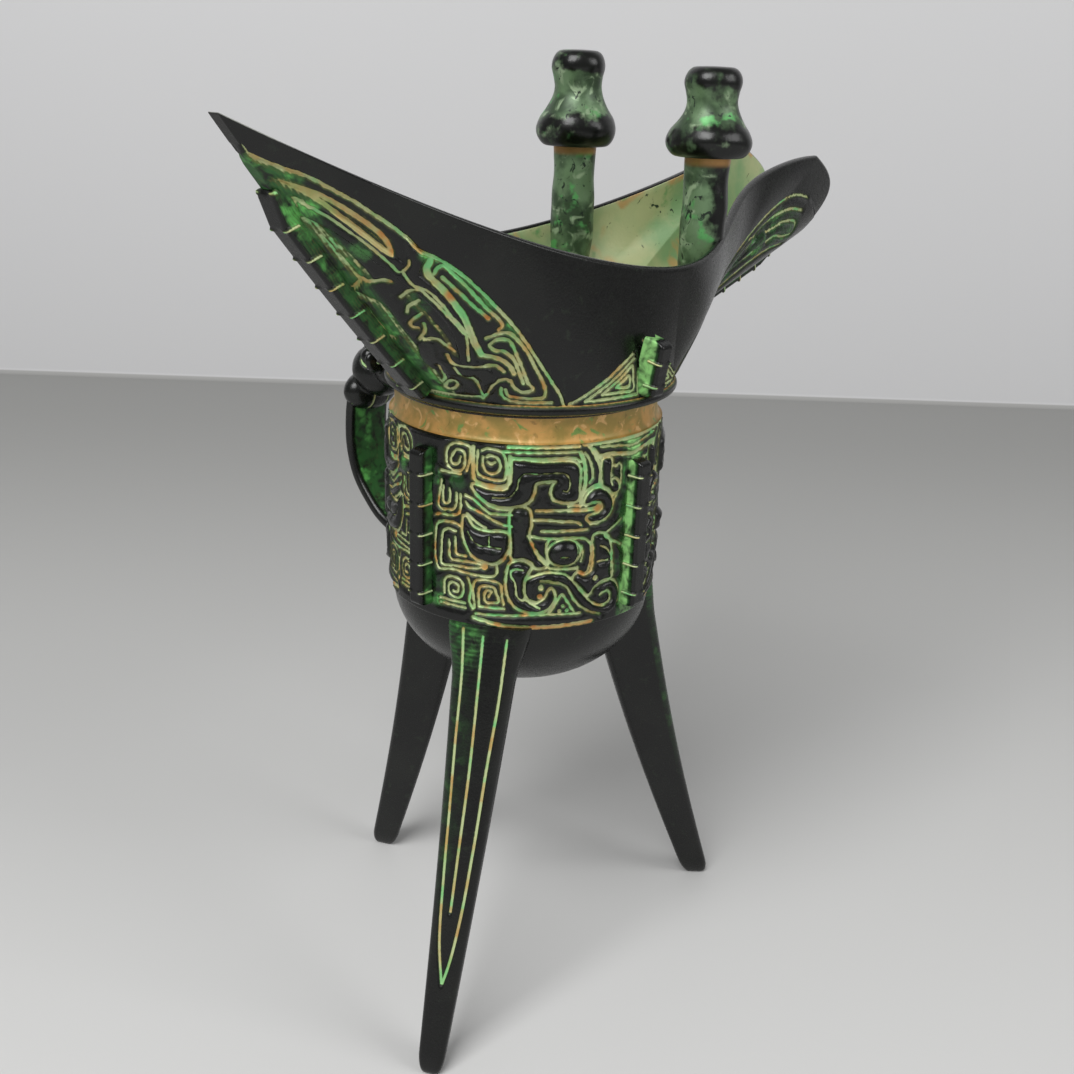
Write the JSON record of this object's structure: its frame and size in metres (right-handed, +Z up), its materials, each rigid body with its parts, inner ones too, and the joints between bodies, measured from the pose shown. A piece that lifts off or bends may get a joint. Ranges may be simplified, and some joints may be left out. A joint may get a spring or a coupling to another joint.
{
  "type": "tripod goblet",
  "caption": "Bronze ritual wine goblet on blade legs, with a long open spout, a pointed tail, capped posts, a strap handle with a beast head, and notched flanges.",
  "frame": {"origin": "on the floor under the middle of the whole goblet's box", "axes": "+Z up, +X towards the spout, +Y towards the handle"},
  "size_m": [0.1952, 0.0986, 0.222],
  "materials": {
    "relief_patina": "cast bronze relief, raised lines worn black and glossy over green and ochre patina",
    "black_patina": "cast bronze under a satin black patina, with green in the cuts",
    "green_patina": "cast bronze under a mottled green patina, rubbed to black on the high places"
  },
  "bodies": {
    "root": {"cup": "relief_patina", "mouth": "relief_patina", "leg_handle_side": "black_patina", "leg_tail_side": "black_patina", "leg_spout_side": "black_patina", "post_front": "green_patina", "post_handle_side": "green_patina", "post_cap_front": "green_patina", "post_cap_handle_side": "green_patina", "handle_strap": "black_patina", "handle_beast_head": "black_patina", "flange_body_tail": "black_patina", "flange_body_front": "black_patina", "flange_body_spout": "black_patina", "flange_neck_tail": "black_patina", "flange_neck_spout": "black_patina", "flange_neck_front": "black_patina", "flange_neck_handle": "black_patina"}
  },
  "joints": []
}
